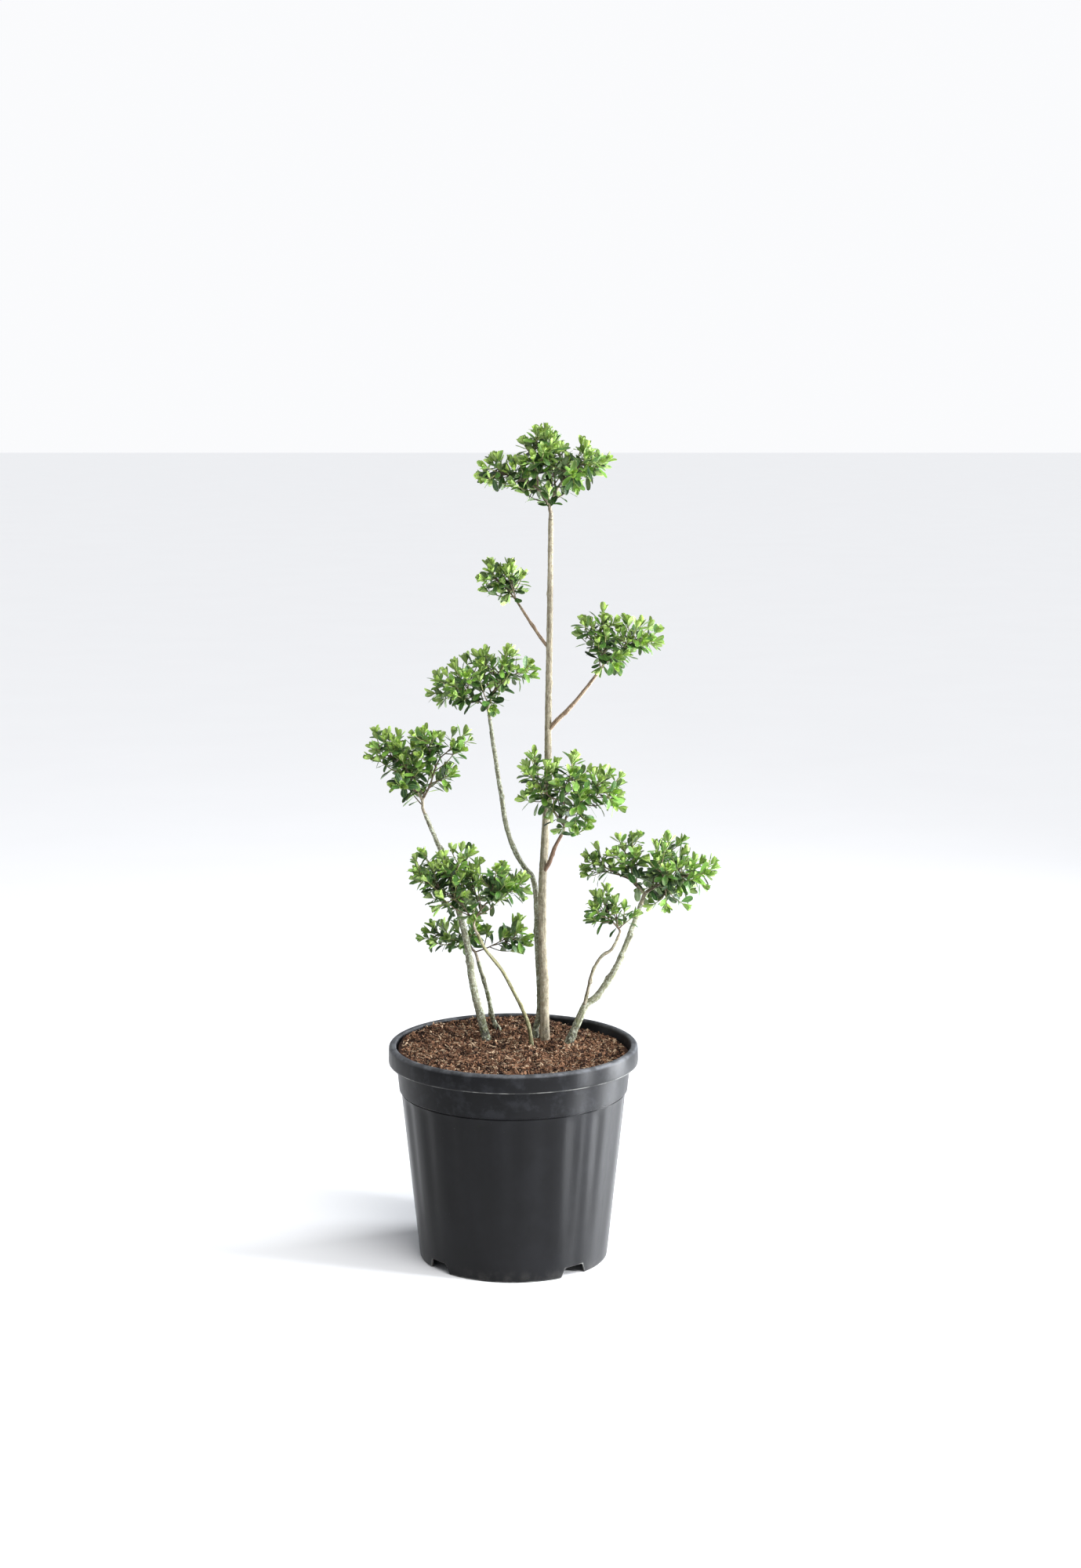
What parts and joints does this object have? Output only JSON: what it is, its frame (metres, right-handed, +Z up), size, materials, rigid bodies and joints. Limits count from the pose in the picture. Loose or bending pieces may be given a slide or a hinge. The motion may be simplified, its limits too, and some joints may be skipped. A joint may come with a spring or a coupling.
{
  "type": "potted cloud-pruned holly",
  "caption": "Young japanese holly trained as a cloud tree: bare stems and boughs end in separate clumps of small oval leaves, in a round dark nursery pot of soil.",
  "frame": {"origin": "middle of the pot's flat underside, on the ground", "axes": "+Z up along the plant; +X to the right of someone who stands in front of it; +Y away from them"},
  "size_m": [0.4723, 0.331, 1.1092],
  "materials": {
    "pot": "satin injection-moulded plastic, charcoal, scuffed at the rim",
    "soil": "loose bark and coir potting mix, matt",
    "bark": "grey-brown bark, matt",
    "foliage": "evergreen leaves, satin, on thin twigs"
  },
  "bodies": {
    "root": {"pot": "pot", "soil": "soil", "trunk": "bark", "twin_stem": "bark", "thin_stem": "bark", "left_stem": "bark", "knobbly_stem": "bark", "right_stem": "bark", "right_side_branch": "bark", "bough_high_left": "bark", "bough_high_right": "bark", "bough_middle": "bark", "cloud_top": "foliage", "cloud_high_left": "foliage", "cloud_high_right": "foliage", "cloud_middle_left": "foliage", "cloud_far_left": "foliage", "cloud_middle": "foliage", "cloud_low_left": "foliage", "tuft_low_left": "foliage", "cloud_low_right": "foliage", "tuft_low_right": "foliage"}
  },
  "joints": []
}
